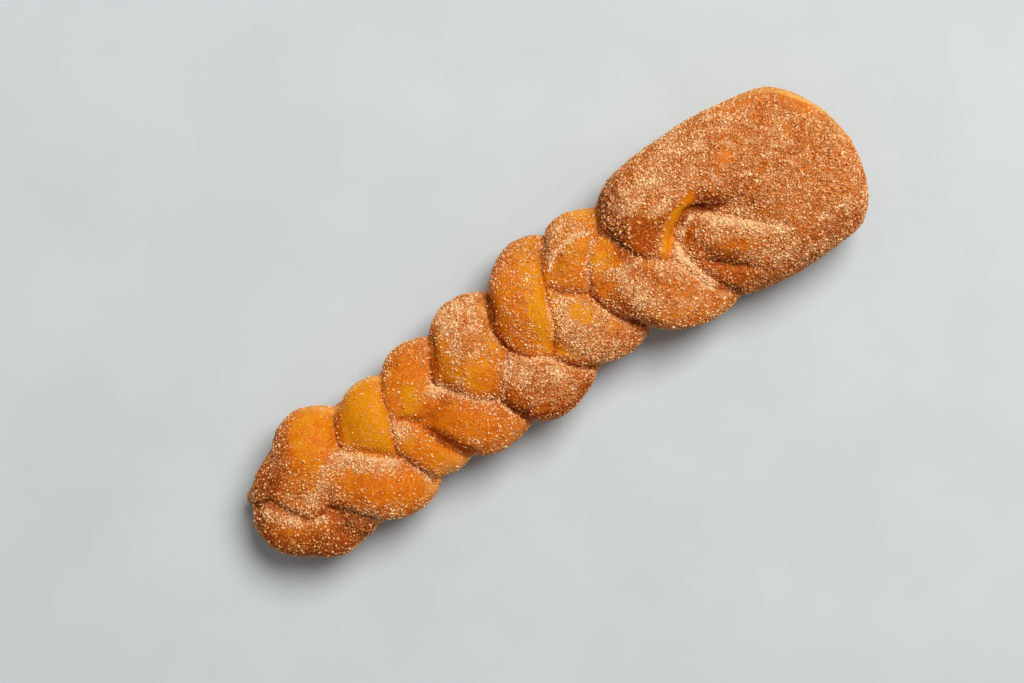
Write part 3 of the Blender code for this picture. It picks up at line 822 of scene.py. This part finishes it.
class Coat:
    """Maps of the crust and of what lies on it, each with one number for each vertex."""

    def __init__(self, mesh):
        self.places, self.normals, edges = places_of(mesh), normals_of(mesh), edges_of(mesh)
        self.x, self.y = seen(self.places)
        self.z = self.places[:, 2]
        self.top = upperness(self.places, edges, mesh)
        self.above = ramp(self.z, *TOP_STARTS)
        self.wobble = self.uneven(EDGE_WOBBLE)
        self.hue = self.uneven(HUES)
        self.clumps = self.uneven(CLUMPS)
        inward = smoothed(self.places, edges, BROAD_STEPS) - self.places
        self.hollow = np.einsum("ij,ij->i", inward, self.normals)
        # Painted dark shade along the bottom of each crease, as dark as the crease's row says.
        self.line = ramp(crease_depths(self.x, self.y, FINE_LINE)[1], 0.2, 1.6) * self.top
        self.drift = (self.patches(DRIFTS) + self.lines(SUGAR_LINES)) * self.top
        self.thin = ramp(self.uneven(THIN_PLACES), 0.2, 1.1) * (1 - ramp(self.drift, 0, 0.6))
        missed = self.patches(BARE_PATCHES) * self.above
        stray = 0.8 * ramp(self.uneven(STRAY_BARE), 0.3, 0.8) * (1 - self.above)
        self.film = self.film_cover(missed)
        self.waist, pale = self.pale_waist()
        self.bare = np.maximum.reduce([missed, stray, pale])
        self.brown_and_shade = self.crust_brown()
        self.painted_glow = self.red_glow()
        self.sugar = self.grain_weight()
        self.light = self.grain_light()

    def uneven(self, layers, base=0.0):
        return layered(self.places, layers, base)

    def patches(self, rows, wobble=1.0):
        return patch_strength(self.x, self.y, rows, wobble * self.wobble)

    def lines(self, rows, wobble=1.0):
        return line_strength(self.x, self.y, rows, wobble * self.wobble)

    def film_cover(self, missed):
        """How fully cinnamon and the finest sugar cover the crust."""
        film = np.maximum(self.patches(COATED), LEAST_FILM) * self.above
        film += FLANK_FILM * (1 - self.above)
        return np.clip((film + 0.7 * self.drift) * (1 - 1.3 * missed) * (1 - 0.5 * self.thin), 0, 1)

    def pale_waist(self):
        """How pale the dough is where it floated in the oil, and how bare it is there."""
        height = self.z - WAIST_HEIGHT - self.uneven(WAIST_RISE)
        waist = np.exp(-(height / WAIST_HALF_WIDTH) ** 2) * (1 - self.top)
        waist *= ramp(self.uneven(WAIST_GAPS), -0.6, 0.3)
        rim = self.patches(PALE_RIMS, 0.4) * self.above
        waist = np.maximum(waist, rim * ramp(self.z + self.uneven(RIM_EDGE), *RIM_ENDS))
        line = self.lines(PALE_LINES, 0.5) * self.above
        waist = np.maximum(waist, line)
        return waist, np.maximum(0.8 * waist * rim, 0.85 * line)

    def crust_brown(self):
        """How brown the crust is, with painted shade added on flanks that face away from the light
        and along the crease lines.
        """
        # Painted shade: darker on the top's flanks that face away from the light, and along the
        # crease lines.
        away = ramp(-self.normals[:, 0] - 0.3 * self.normals[:, 1], 0.25, 0.85) * self.top
        brown_and_shade = blended_brown_and_shade(self.x, self.y) * self.above + FLANK_BROWN * (1 - self.above)
        brown_and_shade += 0.3 * away + 0.3 * self.line + (0.14 - 0.08 * self.bare) * self.uneven(BLOTCHES)
        return np.clip(brown_and_shade, 0, BROWN_MOST)

    def red_glow(self):
        """Painted red glow of light scattered and bounced in the dough's folds, on an upper strip's
        foot and in small hollows, where no sugar hides it.
        """
        fold = crease_depths(self.x, self.y, GLOW_WIDTH)[2]
        painted_glow = np.maximum(ramp(fold, 0.5, 2.6) * self.top, 0.6 * ramp(self.hollow, 0.6, 1.8))
        return painted_glow * (1 - self.film) * (1 - ramp(self.drift, 0.1, 0.6))

    def grain_weight(self):
        """How densely grains lie: less on bare, deep, brown and pale places and on the painted shade
        lines of the creases, more in drifts.
        """
        sugar = self.uneven(SUGAR_SPREAD, PLAIN_SUGAR) + 0.4 * self.film
        sugar = np.clip(sugar, *SUGAR_LIMITS) * (1 - self.bare) ** 1.5 + 1.2 * self.drift
        depths = crease_depths(self.x, self.y)[0] * crease_share(self.top)
        sugar *= 1 - 0.5 * ramp(depths, 2.2, 4.5) * (1 - ramp(self.drift, 0.2, 0.8))
        sugar *= (1 - 0.8 * self.line) * (1 - 0.35 * self.thin)
        sugar *= 1 - 0.4 * ramp(self.brown_and_shade, 0.7, 1.2) * (1 - ramp(self.drift, 0.1, 0.5))
        sugar *= 0.3 + 0.7 * ramp(self.normals[:, 2], *UNDERSIDE)
        sugar *= 1 - 0.4 * self.waist
        return sugar * ramp(self.z, *GRAINS_START)

    def grain_light(self):
        """What is added to the grains' random tones: they are lighter in drifts and on bare crust,
        darker where the crust is brown or painted shaded, and darker along the crease lines as
        painted shade.
        """
        light = 0.35 * self.drift - 0.2 * np.maximum(self.brown_and_shade - 0.5, 0)
        light += 0.15 * self.hue + 0.3 * self.bare
        # Grains along the crease lines are darker, as painted shade.
        return light + (0.5 * self.clumps - 0.2 * self.line)


# -------- grains
def box_grain():
    """A sugar crystal: a box of twelve triangles."""
    points = np.array([(i, j, k) for i in (-1, 1) for j in (-1, 1) for k in (-1, 1)], float) * 0.5
    quads = ((0, 1, 3, 2), (4, 6, 7, 5), (0, 4, 5, 1), (2, 3, 7, 6), (0, 2, 6, 4), (1, 5, 7, 3))
    faces = [tri for a, b, c, d in quads for tri in ((a, b, c), (a, c, d))]
    return points, np.array(faces)


def spindle_grain():
    """A splinter of sugar: two three-sided points, base to base."""
    turn = np.arange(3) * 2 * math.pi / 3
    points = np.vstack([np.stack([np.cos(turn), np.sin(turn), 0 * turn], 1) * 0.55,
                        [(0, 0, 0.6), (0, 0, -0.6)]])
    faces = [(0, 1, 3), (1, 2, 3), (2, 0, 3), (1, 0, 4), (2, 1, 4), (0, 2, 4)]
    return points, np.array(faces)


def chip_grain():
    """The smallest bits: four faces."""
    points = np.array([(1, 1, 1), (-1, -1, 1), (-1, 1, -1), (1, -1, -1)], float) * 0.42
    return points, np.array([(0, 2, 1), (0, 1, 3), (0, 3, 2), (1, 2, 3)])


def random_turns(rng, count):
    """Rotation matrices, evenly spread."""
    w, x, y, z = rng.normal(size=(4, count))
    size = np.sqrt(w * w + x * x + y * y + z * z)
    w, x, y, z = w / size, x / size, y / size, z / size
    return np.stack([
        np.stack([1 - 2 * (y * y + z * z), 2 * (x * y - w * z), 2 * (x * z + w * y)], 1),
        np.stack([2 * (x * y + w * z), 1 - 2 * (x * x + z * z), 2 * (y * z - w * x)], 1),
        np.stack([2 * (x * z - w * y), 2 * (y * z + w * x), 1 - 2 * (x * x + y * y)], 1)], 1)


def scatter(mesh, weight, known, count, rng):
    """Places on the dough, denser where the weight is larger, their normals and what is known.

    What is known has a row of values for each vertex.
    """
    mesh.calc_loop_triangles()
    corners = read(mesh.loop_triangles, "vertices", 3, np.int32)
    places, normals = places_of(mesh), normals_of(mesh)
    a, b, c = (places[corners[:, i]] for i in range(3))
    area = np.linalg.norm(np.cross(b - a, c - a), axis=1) / 2
    chance = area * weight[corners].mean(axis=1)
    chosen = rng.choice(len(corners), count, p=chance / chance.sum())
    u, v = rng.uniform(size=(2, count))
    flip = u + v > 1
    u[flip], v[flip] = 1 - u[flip], 1 - v[flip]
    share = np.stack([1 - u - v, u, v], 1)[:, :, None]
    spots = (places[corners[chosen]] * share).sum(axis=1)
    ways = (normals[corners[chosen]] * share).sum(axis=1)
    values = (known[corners[chosen]] * share).sum(axis=1)
    return spots, ways / np.linalg.norm(ways, axis=1)[:, None], values


LEAST_HEIGHT = 0.02         # of a grain's corner above the table


def grain_mesh(name, shape, spots, ways, sizes, uneven, flat, rise, rng):
    """All grains of one kind as one mesh, lying flat on the dough."""
    points, faces = shape
    count = len(spots)
    stretch = rng.uniform(1 - uneven, 1 + uneven, (count, 1, 3))
    shapes = points[None] * stretch * sizes[:, None, None]
    shapes = np.einsum("nij,nkj->nki", random_turns(rng, count), shapes)
    shapes -= (1 - flat) * np.einsum("nki,ni->nk", shapes, ways)[:, :, None] * ways[:, None]
    centres = spots + ways * (rise * sizes)[:, None]
    places = (shapes + centres[:, None]).reshape(-1, 3)
    places[:, 2] = np.maximum(places[:, 2], LEAST_HEIGHT)
    corners = (faces[None] + np.arange(count)[:, None, None] * len(points)).reshape(-1)
    mesh = bpy.data.meshes.new(name)
    mesh.vertices.add(len(places))
    mesh.vertices.foreach_set("co", (places * MM).astype(np.float32).ravel())
    mesh.loops.add(len(corners))
    mesh.loops.foreach_set("vertex_index", corners.astype(np.int32))
    mesh.polygons.add(len(corners) // 3)
    mesh.polygons.foreach_set("loop_start", np.arange(0, len(corners), 3, dtype=np.int32))
    mesh.update()
    mesh.validate()
    return mesh


# Kinds of grain: shape, count, size, spread of sizes, unevenness, share of its thickness that a
# grain keeps as it lies flat, how far it stands out of the dough in grain sizes, and how densely
# they lie at least. Those with no least density, the cinnamon, lie only where the film does.
GRAINS = {
    "sugar_crystals": (box_grain(), 16500, 0.46, 0.22, 0.35, 0.75, 0.20, 0.13),
    "sugar_grains": (spindle_grain(), 33200, 0.50, 0.22, 0.35, 0.60, 0.16, 0.08),
    "sugar_dust": (chip_grain(), 49800, 0.42, 0.20, 0.40, 0.55, 0.12, 0.06),
    "cinnamon_flecks": (chip_grain(), 28000, 0.34, 0.20, 0.50, 0.50, 0.10, 0.0),
}
GRAIN_SEED = 100            # the first kind's; each next one has the next
SIZE_LIMITS = (0.5, 1.7)    # of a grain, as a share of its kind's size
TONE_LIMITS = (0.05, 0.95)  # of its random tone, from dark to pale


def grains(mesh, coat):
    """The coat: each kind of grain as one piece."""
    known = np.stack([coat.light, coat.bare], 1)
    pieces = {}
    for seed, (name, row) in enumerate(GRAINS.items()):
        shape, count, size, spread, uneven, flat, rise, least = row
        rng = np.random.default_rng(GRAIN_SEED + seed)
        weight = np.maximum(coat.sugar, least * (coat.sugar > 0)) * (1 if least else coat.film)
        spots, ways, values = scatter(mesh, weight, known, count, rng)
        sizes = size * np.clip(rng.normal(1, spread, count), *SIZE_LIMITS)
        made = grain_mesh(name, shape, spots, ways, sizes, uneven, flat, rise, rng)
        points = len(shape[0])
        tones = np.clip(rng.uniform(*TONE_LIMITS, count) + values[:, 0], 0, 1)
        store(made, "tone", np.repeat(tones, points))
        store(made, "bare", np.repeat(values[:, 1], points))
        pieces[name] = add_object(name, made)
    return pieces


# -------- materials
class Nodes:
    """A short way to build a material's nodes."""

    def __init__(self, name):
        self.material = bpy.data.materials.new(name)
        self.material.use_nodes = True
        self.tree = self.material.node_tree
        self.shader = self.tree.nodes["Principled BSDF"]

    def put(self, socket, value):
        """Links a node's output to the socket, or sets the socket to a value."""
        if isinstance(value, bpy.types.NodeSocket):
            self.tree.links.new(value, socket)
        else:
            socket.default_value = value

    def node(self, kind, inputs, output=0, **settings):
        """Adds a node; the inputs are values or other nodes' outputs, by name or number."""
        made = self.tree.nodes.new(kind)
        for key, value in settings.items():
            setattr(made, key, value)
        for key, value in inputs.items():
            self.put(made.inputs[key], value)
        return made.outputs[output]

    def surface(self, colour, roughness, shine=None):
        """Gives the surface its colour, roughness and shine, and ends with the material."""
        self.put(self.shader.inputs["Base Color"], colour)
        self.put(self.shader.inputs["Roughness"], roughness)
        if shine is not None:
            self.put(self.shader.inputs["Specular IOR Level"], shine)
        return self.material

    def attribute(self, name):
        """A number that the mesh keeps for each vertex."""
        return self.node("ShaderNodeAttribute", {}, "Fac", attribute_name=name)

    def times(self, a, b):
        return self.node("ShaderNodeMath", {0: a, 1: b}, operation="MULTIPLY")

    def plus(self, a, b):
        return self.node("ShaderNodeMath", {0: a, 1: b}, operation="ADD")

    def stretch(self, value, start, end, low=0.0, high=1.0):
        """The value's range from start to end, mapped to low to high and held there."""
        inputs = dict(enumerate((value, start, end, low, high)))
        return self.node("ShaderNodeMapRange", inputs, interpolation_type="SMOOTHSTEP")

    def mix(self, share, a, b):
        """Colour a, or b where the share is 1."""
        return self.node("ShaderNodeMix", {0: share, 6: a, 7: b}, 2, data_type="RGBA")

    def overlaid(self, colour, layers):
        """A colour with others laid over it in turn, each by its share."""
        for share, other in layers:
            colour = self.mix(share, colour, other)
        return colour

    def noise(self, place, size, detail, roughness=0.55):
        """Noise whose features are about size millimetres across."""
        inputs = {"Vector": place, "Scale": 1 / (size * MM), "Detail": detail, "Roughness": roughness}
        return self.node("ShaderNodeTexNoise", inputs)

    def cells(self, place, size, output):
        """Random cells about size millimetres across."""
        return self.node("ShaderNodeTexVoronoi", {"Vector": place, "Scale": 1 / (size * MM)}, output)

    def tone(self, colour):
        """One channel of a colour, as a number."""
        return self.node("ShaderNodeSeparateColor", {"Color": colour})


def rgb(red, green, blue):
    """A colour given as it looks on a screen, 0 to 255."""
    values = [value / 255 for value in (red, green, blue)]
    return (*[v / 12.92 if v <= 0.04045 else ((v + 0.055) / 1.055) ** 2.4 for v in values], 1.0)


# The bare crust's colours, with the painted red glow of its folds, a dark that is partly browning and
# partly painted shade, and the pale line round its waist.
GOLD = rgb(212, 130, 2)
PALE_GOLD = rgb(240, 164, 52)
DEEP_GOLD = rgb(204, 100, 2)
PAINTED_GLOW_RED = rgb(208, 88, 4)
RUST = rgb(152, 58, 8)
DARK_RUST_AND_SHADE = rgb(84, 28, 6)
PALE_WAIST = rgb(238, 178, 84)
# The film of cinnamon and the finest sugar, with a dark between its specks that is partly crust and
# partly painted shade, and grains that the crust shines through, a painted orange of crust seen
# through translucent sugar.
PEACH = rgb(242, 178, 114)
FILM = rgb(222, 140, 76)
FILM_RED = rgb(190, 98, 52)
FILM_DARK_AND_SHADE = rgb(150, 60, 18)
FILM_PALE = rgb(250, 214, 170)
UNDER_GRAINS = rgb(246, 160, 62)

# Noises in the dough's material: size of their features, and detail.
BLOTCHED = (4.0, 4.0)
STREAKED = (0.8, 4.0)
FINE = (0.42, 3.0)
GRITTY = (1.0, 2.0)
WRINKLED = (1.3, 5.0)
DUST_SIZE = 0.46            # of the specks of fine sugar
WRINKLE_HEIGHT = 0.8        # and of the specks, as shares of the bump's height
DUST_HEIGHT = 0.5
BUMP_HEIGHT = 0.4
BUMP_STRENGTH = 0.5

CRUST_SHINE = 0.05
CRUST_ROUGHNESS = 0.5
FILM_ROUGHNESS = 0.75
GRAIN_SHINE = 0.06


def crust_colour(n, place, maps, speck):
    """Gold to rust by how brown or painted shaded it is, with the painted red glow of folds, the
    painted dark shade of crease lines, pale streaks, fine brown spots and specks of sugar.
    """
    return n.overlaid(GOLD, (
        (n.stretch(maps["brown_and_shade"], 0.05, 0.5), DEEP_GOLD),
        (n.stretch(maps["brown_and_shade"], 0.45, 0.95), RUST),
        (n.stretch(maps["brown_and_shade"], 0.9, 1.4), DARK_RUST_AND_SHADE),
        # Painted red glow in the folds, then painted dark shade along the crease lines.
        (n.times(maps["painted_glow"], 0.6), PAINTED_GLOW_RED),
        (n.times(maps["line"], 0.9), DARK_RUST_AND_SHADE),
        (maps["waist"], PALE_WAIST),
        (n.stretch(n.noise(place, *STREAKED), 0.48, 0.72, 0.0, 0.5), PALE_GOLD),
        (n.stretch(n.noise(place, *FINE), 0.48, 0.70, 0.0, 0.5), RUST),
        (speck, PEACH),
    ))


def film_colour(n, maps, skin, cover, chance, grit):
    """Specks of pale sugar and red cinnamon, with darker crust and painted shade in the gaps between
    them, and painted dark shade along the crease lines.
    """
    # Painted shade between the round specks, mixed with the crust's own darker colour.
    gap = n.mix(0.5, FILM_DARK_AND_SHADE, skin)
    specks = n.mix(n.stretch(maps["hue"], -0.5, 0.5, 0.0, 0.7), FILM_RED, FILM)
    specks = n.mix(n.stretch(chance, 0.35, 0.9), specks, PEACH)
    return n.overlaid(gap, (
        (cover, specks),
        (n.stretch(grit, 0.50, 0.64, 0.0, 0.85), skin),
        (n.stretch(maps["brown_and_shade"], 0.4, 1.3, 0.0, 0.75), gap),
        (n.stretch(maps["clumps"], 0.0, 0.8, 0.0, 0.6), FILM_PALE),
        (n.stretch(maps["drift"], 0.2, 1.9, 0.0, 0.95), FILM_PALE),
        # Painted dark shade along the crease lines.
        (n.times(maps["line"], 0.8), FILM_DARK_AND_SHADE),
    ))


def dough_material():
    """Fried crust, and over it, where it lies, the film of cinnamon and the finest sugar."""
    n = Nodes("fried_dough")
    place = n.node("ShaderNodeTexCoord", {}, "Object")
    maps = {name: n.attribute(name) for name in CRUST_MAPS}
    blotch = n.stretch(n.noise(place, *BLOTCHED), 0.3, 0.7, -0.15, 0.15)
    maps["brown_and_shade"] = n.plus(maps["brown_and_shade"], blotch)
    grit = n.noise(place, *GRITTY)
    # Each speck of fine sugar is a cell with a random chance of its own.
    away = n.cells(place, DUST_SIZE, "Distance")
    chance = n.tone(n.cells(place, DUST_SIZE, "Color"))
    dot = n.stretch(away, 0.5, 0.22)
    speck = n.times(dot, n.stretch(chance, 0.76, 0.92, 0.0, 0.4))
    cover = n.times(n.stretch(away, 0.68, 0.3), n.stretch(chance, 0.05, 0.3))
    skin = crust_colour(n, place, maps, speck)
    film = film_colour(n, maps, skin, cover, chance, grit)
    coated = n.plus(maps["film"], n.stretch(grit, 0.3, 0.7, -0.25, 0.25))
    coated = n.stretch(coated, 0.2, 0.85)
    wrinkles = n.times(n.noise(place, *WRINKLED), WRINKLE_HEIGHT)
    specks = n.times(n.times(dot, coated), DUST_HEIGHT)
    relief = {"Strength": BUMP_STRENGTH, "Distance": BUMP_HEIGHT * MM,
              "Height": n.plus(wrinkles, specks)}
    n.put(n.shader.inputs["Normal"], n.node("ShaderNodeBump", relief, "Normal"))
    roughness = n.stretch(coated, 0.0, 1.0, CRUST_ROUGHNESS, FILM_ROUGHNESS)
    return n.surface(n.mix(coated, skin, film), roughness, CRUST_SHINE)


def grain_material(name, dark, middle, pale, roughness):
    """Grains of one kind, each in its own tone from dark to pale, on bare crust tinted with a painted
    orange of crust seen through the sugar.
    """
    n = Nodes(name)
    tone = n.attribute("tone")
    colour = n.overlaid(dark, (
        (n.stretch(tone, 0.0, 0.5), middle),
        (n.stretch(tone, 0.5, 1.0), pale),
        # Painted light: the crust's orange seen through translucent sugar, on grains over bare crust.
        (n.times(n.attribute("bare"), 0.45), UNDER_GRAINS),
    ))
    return n.surface(colour, roughness, GRAIN_SHINE)


# Each kind's dark, middle and pale tone, and its roughness.
GRAIN_LOOKS = {
    "sugar_crystals": (rgb(210, 125, 59), rgb(234, 167, 103), rgb(252, 211, 158), 0.45),
    "sugar_grains": (rgb(204, 114, 50), rgb(230, 155, 90), rgb(246, 198, 142), 0.5),
    "sugar_dust": (rgb(192, 99, 37), rgb(222, 139, 74), rgb(241, 183, 124), 0.6),
    "cinnamon_flecks": (rgb(120, 40, 10), rgb(158, 64, 20), rgb(194, 94, 38), 0.8),
}


# -------- building
def build_dough():
    """The strips and the head grown together, with their creases, folds and swellings."""
    mesh = one_body(dough_shapes() + [tube(smooth_path(BED), STRIP_POWER)])
    places, edges = places_of(mesh), edges_of(mesh)
    places = smoothed(places, edges, HEAD_BLEND_STEPS, head_weight(places[:, 0], places[:, 1]))
    move_to(mesh, settle(places))
    press_creases(mesh)
    move_to(mesh, press_grooves(places_of(mesh), normals_of(mesh)))
    move_to(mesh, add_lumps(places_of(mesh), normals_of(mesh)))
    mesh.shade_smooth()
    mesh.name = "dough"
    return add_object("dough", mesh)


FLOOR_REACH = 4.0           # metres
FLOOR_TONES = (rgb(188, 194, 194), rgb(193, 199, 199))
FLOOR_CLOUDS = 60.0
FLOOR_ROUGHNESS = 0.85


def build_stage():
    """A plain pale floor, faintly clouded."""
    mesh = bpy.data.meshes.new("floor")
    corners = [(x * FLOOR_REACH, y * FLOOR_REACH, 0) for x, y in ((-1, -1), (1, -1), (1, 1), (-1, 1))]
    mesh.from_pydata(corners, [], [(0, 1, 2, 3)])
    n = Nodes("pale_floor")
    place = n.node("ShaderNodeTexCoord", {}, "Object")
    cloud = n.stretch(n.noise(place, FLOOR_CLOUDS, 3.0), 0.3, 0.7)
    mesh.materials.append(n.surface(n.mix(cloud, *FLOOR_TONES), FLOOR_ROUGHNESS))
    add_object("floor", mesh)


# One large soft light, in degrees, metres and watts, and an even sky.
LIGHT_AZIMUTH = 21.0
LIGHT_ELEVATION = 60.0
LIGHT_DISTANCE = 2.0
LIGHT_SIZE = 1.15
LIGHT_POWER = 47.0
SKY = 0.25


def build_light():
    """The soft light and the sky."""
    light = bpy.data.lights.new("softbox", "AREA")
    light.shape = "DISK"
    light.size = LIGHT_SIZE
    light.energy = LIGHT_POWER
    obj = add_object("softbox", light)
    turn, rise = math.radians(LIGHT_AZIMUTH), math.radians(LIGHT_ELEVATION)
    way = Vector((math.cos(turn) * math.cos(rise), math.sin(turn) * math.cos(rise), math.sin(rise)))
    obj.location = way * LIGHT_DISTANCE
    obj.rotation_euler = (-way).to_track_quat("-Z", "Y").to_euler()
    world = bpy.data.worlds.new("studio")
    world.use_nodes = True
    sky = world.node_tree.nodes["Background"]
    sky.inputs["Color"].default_value = (1.0, 1.0, 1.0, 1.0)
    sky.inputs["Strength"].default_value = SKY
    bpy.context.scene.world = world


CAMERA_TURN = -34.5         # degrees from the doughnut's long axis
LENS = 85.0
SENSOR = 36.0


def build_camera():
    """A camera that looks straight down, as far away as the maps are seen from."""
    data = bpy.data.cameras.new("camera")
    data.lens = LENS
    data.sensor_width = SENSOR
    obj = add_object("camera", data)
    obj.location = Vector((*SEEN_FROM, WAIST_HEIGHT + SEEN_DISTANCE)) * MM
    obj.rotation_euler = (0, 0, math.radians(CAMERA_TURN))
    bpy.context.scene.camera = obj


build_camera()
dough = build_dough()
coat = Coat(dough.data)
for map_name in CRUST_MAPS:
    store(dough.data, map_name, getattr(coat, map_name))
dough.data.materials.append(dough_material())
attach(dough, BODY)
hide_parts(NODE)
for name, piece in grains(dough.data, coat).items():
    piece.data.materials.append(grain_material(name, *GRAIN_LOOKS[name]))
    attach(piece, BODY)
build_stage()
build_light()
bpy.context.scene.view_settings.view_transform = "Standard"
